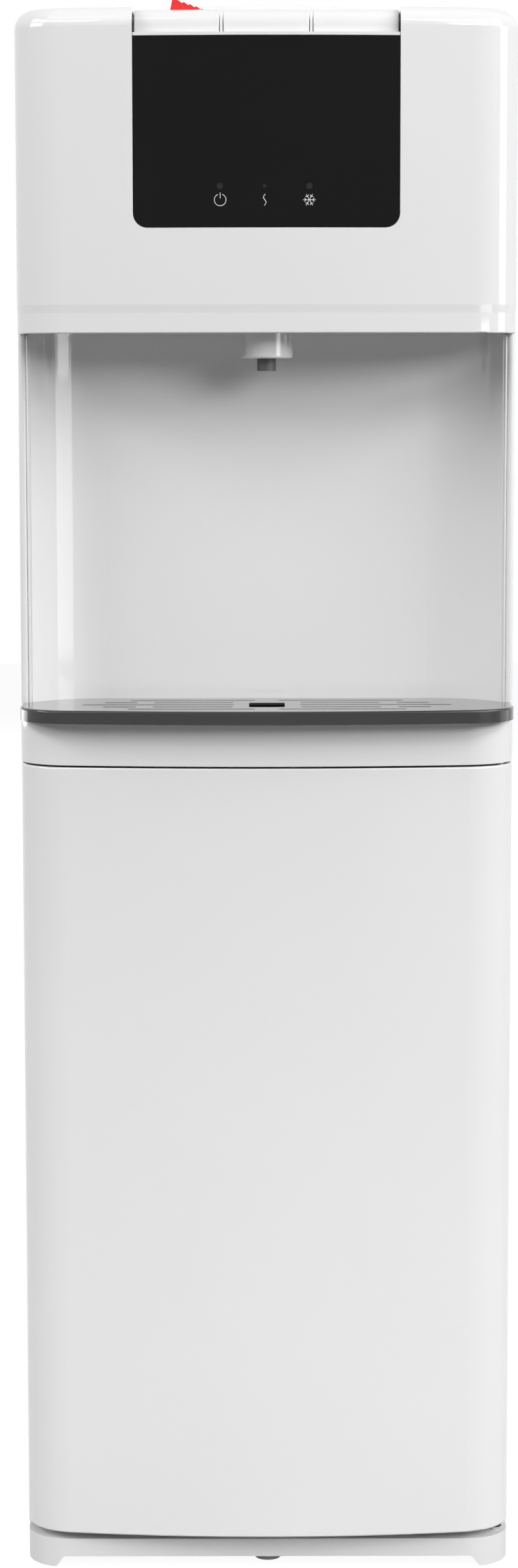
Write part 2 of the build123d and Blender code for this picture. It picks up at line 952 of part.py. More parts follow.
def probe_cap():
    x, y = probe_place()
    high = cap_top()
    cap = rod_z(cap_radius, x, y, high - cap_height, high)
    cap = fillet(cap.edges().group_by(Axis.Z)[-1], 3.0)
    cap -= rod_z(cap_radius - 2.5, x, y, high - cap_height, high - 6)
    return cap - rod_z(dip_radius + running_gap, x, y, high - cap_height, high + 1)


def dip_tube():
    x, y = probe_place()
    return ring_z(dip_radius, dip_radius - 1.5, x, y, cap_top() - dip_length, cap_top())


def suction_hose():
    x, y = probe_place()
    return ring_z(hose_radius, hose_radius - 1.5, x, y, cap_top(), shelf_top + 20)


def probe_clip():
    x, y = probe_place()
    z = cap_top() - 0.55 * dip_length
    clip = block(-half_width + side_sheet, x + 5, y - 10, y + 10, z - 8, z + 8)
    clip -= rod_z(dip_radius + running_gap, x, y, z - 9, z + 9)
    return clip - block(x, x + 6, y - 5.5, y + 5.5, z - 9, z + 9)


# Water and cooling inside

def cold_low():
    return tank_floor + foam_wall


def cold_tank():
    tank = rod_z(cold_radius, 0, cold_y, cold_low() + fit_gap, cold_low() + cold_height)
    return fillet(tank.edges().group_by(Axis.Z)[0], cold_bend)


def cold_foam():
    foam = rod_z(cold_radius + foam_wall, 0, cold_y, tank_floor, cold_low() + cold_height)
    core = rod_z(cold_radius + fit_gap, 0, cold_y, cold_low(), cold_low() + cold_height)
    return foam - core


def cold_lid():
    high = cold_low() + cold_height
    top = high + lid_height
    lid = rod_z(cold_radius + foam_wall / 2, 0, cold_y, high, top)
    return lid + rod_z(lid_stub, 0, cold_y - lid_stub_forward, top, top + lid_stub_rise)


def hot_tank():
    low = shelf_top + drain_height + hot_stand
    tank = rod_z(hot_radius, hot_x, hot_y, low, low + hot_height)
    tank = fillet(tank.edges().group_by(Axis.Z)[-1], hot_bend)
    tank += ring_z(hot_radius, hot_radius - stand_wall, hot_x, hot_y, shelf_top, low)
    x, z = drain_place()
    return tank - rod_y(drain_pipe + fit_gap, x, z, hot_y, hot_y + hot_radius + 1)


def hot_jacket():
    low = shelf_top + 2 * drain_height + hot_stand
    outer = hot_radius + jacket_wall
    high = low + hot_height - jacket_short
    return ring_z(outer, hot_radius + snug_gap, hot_x, hot_y, low, high)


# Drain pipe from under the hot tank out through the rear panel
def drain_outlet():
    x, z = drain_place()
    pipe = rod_y(drain_pipe, x, z, hot_y, rear_y + drain_reach)
    pipe += rod_y(drain_radius, x, z, rear_y - drain_collar, rear_y + drain_collar)
    pipe += rod_z(drain_pipe, x, hot_y, z, shelf_top + drain_height + hot_stand)
    return pipe - rod_y(drain_bore, x, z, hot_y + drain_reach, rear_y + drain_reach + 1)


def drain_cap():
    x, z = drain_place()
    front = rear_y + drain_collar
    cap = rod_y(cap_outer, x, z, front + fit_gap, front + cap_depth)
    cap = fillet(cap.edges().group_by(Axis.Y)[-1], cap_edge)
    return cap - rod_y(drain_pipe + running_gap, x, z, front, rear_y + drain_reach + cap_edge)


def water_pump():
    x, y = half_width - pump_from_side, alcove_y + pump_from_alcove
    foot, top = shelf_top + pump_foot, shelf_top + pump_foot + pump_height
    left, right = x - pump_half, x + pump_half
    deep = pump_depth / 2
    pump = block(left - 2, right + 2, y - deep - 2, y + deep + 2, shelf_top, foot)
    pump += block(left, x, y - deep, y + deep, foot, top)
    pump += rod_x(deep - 1, y, (foot + top) / 2, x, right)
    for part in (0.25, 0.75):
        pump += rod_z(port_radius, left + part * pump_half, y, top, top + port_reach)
    return pump


def grommet_places():
    x, y = can_plate_half - grommet_inset, can_plate_deep - grommet_inset
    return [(can_x + a * x, can_y + b * y) for a in (-1, 1) for b in (-1, 1)]


def compressor():
    low = shelf_top + grommet_height
    top = low + can_plate
    can = rod_z(can_radius, can_x, can_y, top, low + can_height)
    can = fillet(can.edges().group_by(Axis.Z)[-1], can_dome)
    seam = low + can_seam_height
    can += rod_z(can_radius + can_seam_reach, can_x, can_y, seam, seam + can_seam)
    plate = raised(RectangleRounded(2 * can_plate_half, 2 * can_plate_deep, can_plate_corner), low, top)
    plate = Pos(can_x, can_y, 0) * plate
    for x, y in grommet_places():
        plate -= rod_z(grommet_neck + snug_gap, x, y, low - 1, top + 1)
    return can + plate


def compressor_grommets():
    top = shelf_top + grommet_height
    pads = []
    for x, y in grommet_places():
        pad = rod_z(grommet_radius, x, y, shelf_top, top)
        pads.append(pad + rod_z(grommet_neck, x, y, top, top + grommet_rise))
    return Part() + pads


def power_board():
    x = -shelf_half + board_stand
    y0, y1 = alcove_y + board_from_alcove, rear_y - board_from_rear
    low, face = tank_floor, x + board_sheet
    board = block(x, face, y0, y1, low, low + board_height)
    middle, half = (y0 + y1) / 2, (y1 - y0) / 2
    coil = block(face, face + board_parts, middle - 0.85 * half, middle - 0.2 * half,
                 low + 0.15 * board_height, low + 0.5 * board_height)
    can = rod_x(0.14 * half, middle + 0.6 * half, low + 0.4 * board_height, face, face + board_parts)
    return board + coil + can


# Rear

def tube_y():
    return overall_depth / 2 - 2 * wire_radius - running_gap - tube_radius


def run_height(index):
    return run_bottom + index * run_pitch


# One serpentine tube whose two ends turn in to the rear panel
def condenser_tube():
    y = tube_y()
    half = run_length / 2
    points = []
    for index in range(run_count):
        side = 1 if index % 2 == 0 else -1
        ends = [side * half, -side * half]
        if index == 0:
            ends[0] = side * (half - run_end)
        if index == run_count - 1:
            ends[1] = -side * (half - run_end)
        points += [(x, y, run_height(index)) for x in ends]
    first, last = points[0], points[-1]
    points = [(first[0], rear_y, first[2])] + points + [(last[0], rear_y, last[2])]
    bend = 0.47 * run_pitch
    radii = [7.0] + [bend] * (len(points) - 4) + [7.0]
    path = FilletPolyline(*points, radius=radii)
    section = Plane(origin=path @ 0, z_dir=path % 0) * Circle(tube_radius)
    return sweep(section, path=path)


def condenser_wires():
    off = tube_radius + wire_radius + running_gap
    low, high = run_height(0) - wire_tail, run_height(run_count - 1) + wire_tail
    wires = []
    for index in range(wire_count):
        x = (index - (wire_count - 1) / 2) * wire_pitch
        for side in (-1, 1):
            wires.append(rod_z(wire_radius, x, tube_y() + side * off, low, high))
    return Part() + wires


# Two hat-shaped strips that carry the condenser on the rear panel
def condenser_brackets():
    high = tube_y() - tube_radius - 2 * wire_radius - 2 * running_gap
    low, top = run_height(0) - 6, run_height(run_count - 1) + 6
    strips = []
    for side in (-1, 1):
        x = side * bracket_offset
        strip = block(x - 9, x + 9, rear_y, high, low, top)
        strip -= block(x - 9 + sheet, x + 9 - sheet, rear_y, high - sheet, low, top)
        strip += block(x - 20, x - 9 + sheet, rear_y, rear_y + sheet, low, top)
        strips.append(strip + block(x + 9 - sheet, x + 20, rear_y, rear_y + sheet, low, top))
    return Part() + strips


def switch_housings():
    cases = []
    for x, z in rocker_places():
        w, h = rocker_width / 2 - snug_gap, rocker_height / 2 - snug_gap
        case = block(x - w, x + w, rear_y - 16, rear_y, z - h, z + h)
        flange = block(x - w - 1, x + w + 1, rear_y, rear_y + 1.6, z - h - 2, z + h + 2)
        pocket = block(x - w + 1.2, x + w - 1.2, rear_y - 7, rear_y + 2, z - h + 1.2, z + h - 1.2)
        pin = rod_x(rocker_pin + running_gap, rear_y - 1, z, x - w, x + w)
        cases.append(case + flange - pocket - pin)
    return Part() + cases


# See-saw rocker on a pin through its housing, resting with its upper end pressed in
def rocker(index):
    x, z = rocker_places()[index]
    w = rocker_width / 2 - snug_gap - 1.2 - fit_gap
    h = rocker_height / 2 - snug_gap - 2.4
    corners = [(0, -h), (3.4, -h), (1.2, 0), (3.4, h), (0, h), (-3.2, 0)]
    face = make_face(Polyline(*corners, close=True))
    body = extrude(Plane.YZ * face, amount=w, both=True)
    body += rod_x(rocker_pin, 0, 0, -w - 1, w + 1)
    return Pos(x, rear_y - 1.0, z) * Rot(rocker_travel / 2, 0, 0) * body


def heating_rocker():
    return rocker(0)


def cooling_rocker():
    return rocker(1)


def cord_gland():
    x, z = gland_place()
    gland = rod_y(6.0, x, z, rear_y - sheet - 5, rear_y)
    gland += rod_y(9.0, x, z, rear_y, rear_y + 3)
    gland += rod_y(9.0, x, z, rear_y - sheet - 5, rear_y - sheet - fit_gap)
    return gland - rod_y(3.6, x, z, rear_y - 12, rear_y + 4)


builders = [
    base_plinth, centre_foot, side_panel_left, side_panel_right, rear_panel,
    rear_panel_screws, top_cover, head_cover, alcove_panel, tray_deck, mid_shelf,
    tank_shelf, control_frame, control_panel, lamp_lenses, control_board, key_hot,
    key_room, key_cold, key_pivot_rod, key_switches, child_lock, nozzle_housing,
    outlet_tube, dispense_valves, drip_tray, drip_grille, door_panel, door_liner,
    hinge_bushes, upper_hinge, lower_hinge, catch_magnet, door_strike, probe_cap,
    dip_tube, probe_clip, suction_hose, water_pump, cold_tank, cold_foam, cold_lid,
    hot_tank, hot_jacket, drain_outlet, drain_cap, compressor, compressor_grommets,
    condenser_tube, condenser_wires, condenser_brackets, power_board, switch_housings,
    heating_rocker, cooling_rocker, cord_gland,
]

os.makedirs("parts", exist_ok=True)
for builder in builders:
    export_step(builder(), f"parts/{builder.__name__}.step")
for step, name in ((-1, "hot"), (0, "room"), (1, "cold")):
    export_step(key_spring(step), f"parts/{name}_key_spring.step")
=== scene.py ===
import bpy
import bmesh
import json
import math
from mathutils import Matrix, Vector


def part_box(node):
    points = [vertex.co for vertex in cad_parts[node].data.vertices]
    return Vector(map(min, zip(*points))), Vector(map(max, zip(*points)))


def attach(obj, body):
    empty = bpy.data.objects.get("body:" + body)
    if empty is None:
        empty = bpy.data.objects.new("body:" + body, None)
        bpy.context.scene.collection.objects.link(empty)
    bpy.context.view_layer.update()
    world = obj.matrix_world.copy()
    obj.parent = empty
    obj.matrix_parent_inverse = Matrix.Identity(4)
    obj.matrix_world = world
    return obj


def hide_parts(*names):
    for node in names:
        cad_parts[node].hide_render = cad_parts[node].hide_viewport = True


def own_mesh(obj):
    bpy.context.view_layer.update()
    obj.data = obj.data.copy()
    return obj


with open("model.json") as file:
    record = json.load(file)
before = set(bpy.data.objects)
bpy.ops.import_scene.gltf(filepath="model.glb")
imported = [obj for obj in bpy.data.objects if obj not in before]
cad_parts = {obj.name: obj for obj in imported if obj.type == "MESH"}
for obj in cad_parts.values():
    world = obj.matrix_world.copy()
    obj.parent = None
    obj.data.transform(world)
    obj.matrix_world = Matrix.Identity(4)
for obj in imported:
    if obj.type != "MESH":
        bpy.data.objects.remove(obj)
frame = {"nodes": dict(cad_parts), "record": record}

scene = bpy.context.scene
scene.view_settings.view_transform = "Standard"
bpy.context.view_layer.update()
slotOf = {row["node"]: row["material_slot"] for row in frame["record"]["subparts"]}
tiny = 1e-6  # metres, for telling points apart
print("frame loaded:", len(frame["nodes"]), "nodes")


# camera: straight on, at the height of the outlet, looking slightly down
cameraLook = {
    "place": (-0.0049, -2.39975, 0.796), "tilt": 83.17, "roll": 0.077, "lens": 79.58, "sensor": 36,
}
bpy.ops.object.select_all(action="DESELECT")
bpy.ops.object.camera_add(
    location=cameraLook["place"],
    rotation=(math.radians(cameraLook["tilt"]), math.radians(cameraLook["roll"]), 0),
)
camera = bpy.context.object
camera.data.lens = cameraLook["lens"]
camera.data.sensor_width = cameraLook["sensor"]
scene.camera = camera
print("camera placed")


# small helpers for the materials, all on Object coordinates in metres
noiseBand = (0.3, 0.7)  # where most of a noise texture's values lie


def startFinish(name):
    finish = bpy.data.materials.new(name)
    finish.use_nodes = True
    tree = finish.node_tree
    coords = tree.nodes.new("ShaderNodeTexCoord").outputs["Object"]
    return finish, tree, tree.nodes["Principled BSDF"], coords


def stretched(tree, coords, scale):
    mapping = tree.nodes.new("ShaderNodeMapping")
    mapping.inputs["Scale"].default_value = scale
    tree.links.new(coords, mapping.inputs["Vector"])
    return mapping.outputs["Vector"]


def noise(tree, coords, scale, detail, rough=0.5):
    node = tree.nodes.new("ShaderNodeTexNoise")
    node.inputs["Scale"].default_value = scale
    node.inputs["Detail"].default_value = detail
    node.inputs["Roughness"].default_value = rough
    tree.links.new(coords, node.inputs["Vector"])
    return node.outputs["Fac"]


def cells(tree, coords, scale, output="Distance"):
    node = tree.nodes.new("ShaderNodeTexVoronoi")
    node.inputs["Scale"].default_value = scale
    tree.links.new(coords, node.inputs["Vector"])
    return node.outputs[output]


def combine(tree, first, second, kind="ADD"):
    node = tree.nodes.new("ShaderNodeMath")
    node.operation = kind
    for value, socket in zip((first, second), node.inputs):
        if isinstance(value, (int, float)):
            socket.default_value = value
        else:
            tree.links.new(value, socket)
    return node.outputs["Value"]


def average(tree, first, second):
    return combine(tree, combine(tree, first, second), 0.5, "MULTIPLY")


def shade(colour, amount):
    return tuple(min(1.0, c * amount) for c in colour)


def tones(look, band=noiseBand):
    darker = shade(look["colour"], 1 - look["vary"])
    lighter = shade(look["colour"], 1 + look["vary"])
    return zip(band, (darker, lighter))


def tint(tree, shader, value, stops):
    node = tree.nodes.new("ShaderNodeValToRGB")
    for element, (place, colour) in zip(node.color_ramp.elements, stops):
        element.position = place
        element.color = (*colour, 1)
    tree.links.new(value, node.inputs["Fac"])
    tree.links.new(node.outputs["Color"], shader.inputs["Base Color"])


def gloss(tree, shader, value, look):
    node = tree.nodes.new("ShaderNodeMapRange")
    node.inputs["From Min"].default_value, node.inputs["From Max"].default_value = noiseBand
    node.inputs["To Min"].default_value, node.inputs["To Max"].default_value = look["rough"]
    tree.links.new(value, node.inputs["Value"])
    tree.links.new(node.outputs["Result"], shader.inputs["Roughness"])


def bump(tree, shader, height, look):
    node = tree.nodes.new("ShaderNodeBump")
    node.inputs["Strength"].default_value = look["lift"]
    node.inputs["Distance"].default_value = look["depth"]
    tree.links.new(height, node.inputs["Height"])
    tree.links.new(node.outputs["Normal"], shader.inputs["Normal"])


# moulded plastic: slow colour drift, wiped gloss, and the skin of the mould
def plasticFinish(name, look):
    finish, tree, shader, coords = startFinish(name)
    tint(tree, shader, noise(tree, coords, look["drift"], 2), tones(look))
    gloss(tree, shader, noise(tree, coords, look["wipes"], 4, 0.6), look)
    skin = noise(tree, coords, look["skin"], 2)
    if "pits" in look:
        skin = combine(tree, skin, cells(tree, coords, look["pits"]))
    if "streaks" in look:
        streaks = stretched(tree, coords, look["streaks"])
        skin = combine(tree, skin, noise(tree, streaks, 1.0, 4, 0.6))
    bump(tree, shader, skin, look)
    shader.inputs["Specular IOR Level"].default_value = look.get("shine", 0.5)
    if "coat" in look:
        shader.inputs["Coat Weight"].default_value = look["coat"]
        shader.inputs["Coat Roughness"].default_value = look["coatRough"]
        shader.inputs["Coat IOR"].default_value = look["coatBend"]
    return finish


# sprayed or powder-coated sheet: orange peel under the gloss
def paintFinish(name, look):
    finish, tree, shader, coords = startFinish(name)
    tint(tree, shader, noise(tree, coords, look["drift"], 3), tones(look))
    runs = stretched(tree, coords, (1, 1, look["fall"]))
    gloss(tree, shader, noise(tree, runs, look["dust"], 5, 0.65), look)
    coarse = noise(tree, coords, look["peel"], 1)
    fine = noise(tree, coords, 4 * look["peel"], 1)
    bump(tree, shader, combine(tree, coarse, fine), look)
    return finish


# bare metal: drawn or brushed along one axis, or zinc with its spangle
def metalFinish(name, look):
    finish, tree, shader, coords = startFinish(name)
    lines = noise(tree, stretched(tree, coords, look["brush"]), 1.0, 4, 0.6)
    tone = average(tree, noise(tree, coords, look["drift"], 3), lines)
    if "spangle" in look:
        tone = average(tree, tone, cells(tree, coords, look["spangle"], "Color"))
    tint(tree, shader, tone, tones(look, (0.25, 0.75)))
    gloss(tree, shader, lines, look)
    bump(tree, shader, lines, look)
    shader.inputs["Metallic"].default_value = 1.0
    return finish


# rubber and hose: soft sheen with a bloom on it
def rubberFinish(name, look):
    finish, tree, shader, coords = startFinish(name)
    bloom = noise(tree, coords, look["bloom"], 5, 0.65)
    pale = shade(look["colour"], 1 + look["vary"])
    tint(tree, shader, bloom, [(0.35, look["colour"]), (0.75, pale)])
    gloss(tree, shader, bloom, look)
    bump(tree, shader, noise(tree, coords, look["skin"], 3), look)
    shader.inputs["Sheen Weight"].default_value = look["sheen"]
    shader.inputs["Transmission Weight"].default_value = look.get("clear", 0.0)
    shader.inputs["IOR"].default_value = 1.46  # soft plastic
    return finish


# bead foam: swollen cells pressed together
def foamFinish(name, look):
    finish, tree, shader, coords = startFinish(name)
    beads = cells(tree, coords, look["beads"])
    seam = shade(look["colour"], look["seam"])
    tint(tree, shader, beads, [(0.0, look["colour"]), (0.75, seam)])
    gloss(tree, shader, noise(tree, coords, look["beads"], 2), look)
    bump(tree, shader, beads, look)
    return finish


# circuit board: lacquer with raised tracks
def boardFinish(name, look):
    finish, tree, shader, coords = startFinish(name)
    turned = tree.nodes.new("ShaderNodeMapping")
    turned.inputs["Rotation"].default_value = [math.radians(angle) for angle in look["turn"]]
    tree.links.new(coords, turned.inputs["Vector"])
    tracks = tree.nodes.new("ShaderNodeTexBrick")
    tracks.inputs["Scale"].default_value = look["tracks"]
    tracks.inputs["Mortar Size"].default_value = look["trackWide"]
    for socket, amount in look["tones"].items():
        tracks.inputs[socket].default_value = (*shade(look["colour"], amount), 1)
    tree.links.new(turned.outputs["Vector"], tracks.inputs["Vector"])
    tree.links.new(tracks.outputs["Color"], shader.inputs["Base Color"])
    gloss(tree, shader, noise(tree, coords, look["wipes"], 3), look)
    bump(tree, shader, tracks.outputs["Fac"], look)
    return finish


whiteGloss = {
    "colour": (0.80, 0.80, 0.80), "drift": 5, "vary": 0.012, "wipes": 14, "rough": (0.03, 0.07),
    "skin": 420, "lift": 0.03, "depth": 0.00002,
}
whiteMatte = {
    "colour": (0.76, 0.76, 0.76), "drift": 8, "vary": 0.015, "wipes": 25, "rough": (0.42, 0.55),
    "skin": 1500, "pits": 1900, "lift": 0.18, "depth": 0.00005,
}
greyMatte = {
    "colour": (0.36, 0.36, 0.36), "drift": 20, "vary": 0.03, "wipes": 40, "rough": (0.40, 0.55),
    "skin": 1500, "pits": 1900, "lift": 0.20, "depth": 0.00005,
}
trayGrey = {
    "colour": (0.032, 0.032, 0.033), "drift": 30, "vary": 0.06, "wipes": 60, "rough": (0.10, 0.16),
    "skin": 1800, "lift": 0.04, "depth": 0.00002, "shine": 0.25,
    "coat": 0.7, "coatRough": 0.12, "coatBend": 1.3, "streaks": (15, 900, 900),
}
blackGloss = {
    "colour": (0.004, 0.004, 0.004), "drift": 10, "vary": 0.08, "wipes": 12, "rough": (0.05, 0.10),
    "skin": 300, "lift": 0.03, "depth": 0.00002, "shine": 0.12,
}
blackMatte = {
    "colour": (0.02, 0.02, 0.02), "drift": 25, "vary": 0.10, "wipes": 60, "rough": (0.45, 0.60),
    "skin": 1600, "pits": 2000, "lift": 0.25, "depth": 0.00006,
}
lampSmoke = {
    "colour": (0.022, 0.022, 0.022), "drift": 200, "vary": 0.10, "wipes": 300,
    "rough": (0.12, 0.20), "skin": 900, "lift": 0.05, "depth": 0.00002, "shine": 0.15,
}
redGloss = {
    "colour": (0.80, 0.022, 0.022), "drift": 40, "vary": 0.05, "wipes": 80, "rough": (0.20, 0.32),
    "skin": 900, "lift": 0.10, "depth": 0.00003,
}
greenGloss = {
    "colour": (0.03, 0.40, 0.10), "drift": 40, "vary": 0.05, "wipes": 80, "rough": (0.20, 0.30),
    "skin": 900, "lift": 0.08, "depth": 0.00003,
}
blueMatte = {
    "colour": (0.10, 0.28, 0.60), "drift": 30, "vary": 0.05, "wipes": 50, "rough": (0.35, 0.50),
    "skin": 1200, "pits": 1600, "lift": 0.20, "depth": 0.00005,
}
whiteSteel = {
    "colour": (0.79, 0.79, 0.79), "drift": 4, "vary": 0.01, "dust": 9, "fall": 0.4,
    "rough": (0.30, 0.42), "peel": 520, "lift": 0.16, "depth": 0.00004,
}
blackPaint = {
    "colour": (0.015, 0.015, 0.016), "drift": 30, "vary": 0.15, "dust": 40, "fall": 0.5,
    "rough": (0.30, 0.52), "peel": 900, "lift": 0.20, "depth": 0.00005,
}
bareSteel = {
    "colour": (0.56, 0.56, 0.57), "drift": 12, "vary": 0.12, "brush": (40, 40, 2600),
    "rough": (0.22, 0.36), "lift": 0.12, "depth": 0.00003,
}
zincSteel = {
    "colour": (0.60, 0.60, 0.57), "drift": 30, "vary": 0.18, "brush": (300, 300, 300),
    "spangle": 260, "rough": (0.26, 0.42), "lift": 0.10, "depth": 0.00003,
}
tubeGrey = {
    "colour": (0.08, 0.08, 0.08), "bloom": 120, "vary": 0.35, "rough": (0.40, 0.55), "skin": 1500,
    "lift": 0.15, "depth": 0.00004, "sheen": 0.1,
}
blackRubber = {
    "colour": (0.02, 0.02, 0.02), "bloom": 90, "vary": 0.6, "rough": (0.60, 0.80), "skin": 1400,
    "lift": 0.25, "depth": 0.00006, "sheen": 0.2,
}
clearHose = {
    "colour": (0.72, 0.74, 0.74), "bloom": 80, "vary": 0.05, "rough": (0.18, 0.30), "skin": 700,
    "lift": 0.06, "depth": 0.00003, "sheen": 0.0, "clear": 0.6,
}
whiteFoam = {
    "colour": (0.82, 0.82, 0.80), "beads": 330, "seam": 0.93, "rough": (0.75, 0.90),
    "lift": -0.5, "depth": 0.0006,
}
greenBoard = {
    "colour": (0.03, 0.16, 0.06), "tones": {"Color1": 1.0, "Color2": 0.8, "Mortar": 1.7},
    "tracks": 90, "trackWide": 0.06, "turn": (90, 0, 35), "wipes": 90, "rough": (0.25, 0.40),
    "lift": 0.4, "depth": 0.00004,
}

finishes = {
    "white_gloss": plasticFinish("whiteGloss", whiteGloss),
    "white_matte": plasticFinish("whiteMatte", whiteMatte),
    "grey_matte": plasticFinish("greyMatte", greyMatte),
    "tray_grey": plasticFinish("trayGrey", trayGrey),
    "black_gloss": plasticFinish("blackGloss", blackGloss),
    "black_matte": plasticFinish("blackMatte", blackMatte),
    "lamp_smoke": plasticFinish("lampSmoke", lampSmoke),
    "red_gloss": plasticFinish("redGloss", redGloss),
    "green_gloss": plasticFinish("greenGloss", greenGloss),
    "blue_matte": plasticFinish("blueMatte", blueMatte),
    "white_steel": paintFinish("whiteSteel", whiteSteel),
    "black_paint": paintFinish("blackPaint", blackPaint),
    "bare_steel": metalFinish("bareSteel", bareSteel),
    "zinc_steel": metalFinish("zincSteel", zincSteel),
    "tube_grey": rubberFinish("tubeGrey", tubeGrey),
    "black_rubber": rubberFinish("blackRubber", blackRubber),
    "clear_hose": rubberFinish("clearHose", clearHose),
    "foam_white": foamFinish("whiteFoam", whiteFoam),
    "board_green": boardFinish("greenBoard", greenBoard),
}
for name, node in frame["nodes"].items():
    for place in node.material_slots:
        place.material = finishes[slotOf[name]]
print("finishes made:", len(finishes))


# helpers for the new pieces
def clearSelection():
    if bpy.context.object and bpy.context.object.mode != "OBJECT":
        bpy.ops.object.mode_set(mode="OBJECT")
    bpy.ops.object.select_all(action="DESELECT")


def selectOnly(*pieces):
    clearSelection()
    for piece in pieces:
        piece.select_set(True)
    bpy.context.view_layer.objects.active = pieces[0]


def pickVerts(test):
    mesh = bmesh.from_edit_mesh(bpy.context.object.data)
    bpy.ops.mesh.select_all(action="DESELECT")
    bpy.ops.mesh.select_mode(type="VERT")
    for vert in mesh.verts:
        vert.select = test(vert.co)
    mesh.select_flush_mode()
    bmesh.update_edit_mesh(bpy.context.object.data)


def keepVerts(test):
    mesh = bmesh.from_edit_mesh(bpy.context.object.data)
    for vert in mesh.verts:
        vert.select = vert.select and test(vert.co)
    mesh.select_flush_mode()
    bmesh.update_edit_mesh(bpy.context.object.data)


def settle(piece, name, body, slot):
    selectOnly(piece)
    bpy.ops.object.transform_apply(location=True, rotation=True, scale=True)
    piece.name = name
    piece.data.name = name
    piece.data.materials.clear()
    piece.data.materials.append(finishes[slot])
    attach(piece, body)
    return piece


def pushOut(way):
    bpy.ops.mesh.extrude_region_move(TRANSFORM_OT_translate={"value": way})


def widenInwards(radius, stroke):
    inner = 1 - stroke / radius
    bpy.ops.mesh.extrude_region_move()
    bpy.ops.transform.resize(value=(inner, inner, 1), center_override=(0, 0, 0))


def thicken(amount):
    bpy.ops.mesh.select_all(action="SELECT")
    bpy.ops.mesh.remove_doubles(threshold=tiny)
    pushOut((0, 0, amount))
    bpy.ops.mesh.select_all(action="SELECT")
    bpy.ops.mesh.normals_make_consistent(inside=False)
    bpy.ops.object.mode_set(mode="OBJECT")


def turnPicked(degrees):
    turn = math.radians(degrees)
    bpy.ops.transform.rotate(value=turn, orient_axis="Z", center_override=(0, 0, 0))


def turnCopy(degrees):
    bpy.ops.mesh.duplicate()
    turnPicked(degrees)


# printed signs on the black panel, drawn flat and then stood on its bow
signs = {
    "height": 0.9025, "bow": 0.8996, "bowCentre": 0.72725, "radius": 0.0039, "stroke": 0.00040,
    "thick": 0.00008, "sink": 0.00003, "power": -0.0294, "wave": -0.0011, "frost": 0.0272,
}


def standSign(piece, name, x):
    turn = math.asin(x / signs["bow"])
    depth = signs["bowCentre"] - math.sqrt(signs["bow"] ** 2 - x ** 2)
    piece.rotation_euler = (math.pi / 2, 0, turn)
    piece.location = (x, depth + signs["sink"], signs["height"])
    return settle(piece, name, "cabinet", "white_matte")


# power: an open ring with a bar in its gap
powerRing = {"sides": 96, "gap": 21, "barFoot": 0.3, "barReach": 0.83}


def powerSign():
    radius, stroke = signs["radius"], signs["stroke"]
    gap = math.radians(powerRing["gap"])
    foot = powerRing["barFoot"] * radius
    clearSelection()
    bpy.ops.mesh.primitive_circle_add(vertices=powerRing["sides"], radius=radius)
    piece = bpy.context.object
    bpy.ops.object.mode_set(mode="EDIT")
    pickVerts(lambda co: abs(math.atan2(co.x, co.y)) < gap)
    bpy.ops.mesh.delete(type="VERT")
    bpy.ops.mesh.select_all(action="SELECT")
    widenInwards(radius, stroke)
    bpy.ops.mesh.primitive_plane_add(size=stroke, location=(0, foot, 0))
    keepVerts(lambda co: co.y > foot)
    pushOut((0, powerRing["barReach"] * radius, 0))
    thicken(signs["thick"])
    return standSign(piece, "powerSign", signs["power"])


# heat: one bent line, its upper half drawn and turned about the middle
waveBend = {
    "lean": 38, "middle": 0.00068, "centre": (0.000908, 0.00158, 0), "steps": 12, "end": 0.00118,
}


def waveSign():
    stroke, end, turn = signs["stroke"], waveBend["end"], math.radians(waveBend["lean"])
    across, up = math.sin(turn), math.cos(turn)
    clearSelection()
    bpy.ops.mesh.primitive_plane_add(size=stroke, rotation=(0, 0, turn))
    piece = bpy.context.object
    bpy.ops.object.transform_apply(rotation=True)
    bpy.ops.object.mode_set(mode="EDIT")
    keepVerts(lambda co: co.y * up - co.x * across > 0)
    straight = waveBend["middle"] - stroke / 2
    pushOut((-straight * across, straight * up, 0))
    bpy.ops.mesh.spin(
        steps=waveBend["steps"], angle=2 * turn, center=waveBend["centre"], axis=(0, 0, 1)
    )
    pushOut((end * across, end * up, 0))
    bpy.ops.mesh.select_all(action="SELECT")
    turnCopy(180)
    thicken(signs["thick"])
    return standSign(piece, "waveSign", signs["wave"])


# cold: one arm with its fork, turned about the middle, then all made one
frostArm = {
    "arms": 6, "start": 30, "slim": 0.9, "reach": 0.0040,
    "fork": 0.00215, "forkLean": 52, "forkLength": 0.0013,
}


def frostSign():
    stroke = frostArm["slim"] * signs["stroke"]
    fork, length = frostArm["fork"], frostArm["forkLength"]
    clearSelection()
    bpy.ops.mesh.primitive_plane_add(size=stroke)
    piece = bpy.context.object
    bpy.ops.object.mode_set(mode="EDIT")
    keepVerts(lambda co: co.y > 0)
    pushOut((0, frostArm["reach"] - stroke / 2, 0))
    for side in (-1, 1):
        turn = side * math.radians(frostArm["forkLean"])
        across, up = math.sin(turn), math.cos(turn)
        bpy.ops.mesh.primitive_plane_add(size=stroke, location=(0, fork, 0), rotation=(0, 0, -turn))
        keepVerts(lambda co: co.x * across + (co.y - fork) * up > 0)
        pushOut((length * across, length * up, 0))
    bpy.ops.mesh.select_all(action="SELECT")
    turnPicked(frostArm["start"])
    for arm in range(1, frostArm["arms"]):
        turnCopy(360 / frostArm["arms"])
    thicken(signs["thick"])
    bpy.ops.object.mode_set(mode="EDIT")
    bpy.ops.mesh.select_all(action="SELECT")
    bpy.ops.mesh.intersect_boolean(operation="UNION", use_self=True, solver="EXACT")
    bpy.ops.object.mode_set(mode="OBJECT")
    return standSign(piece, "frostSign", signs["frost"])


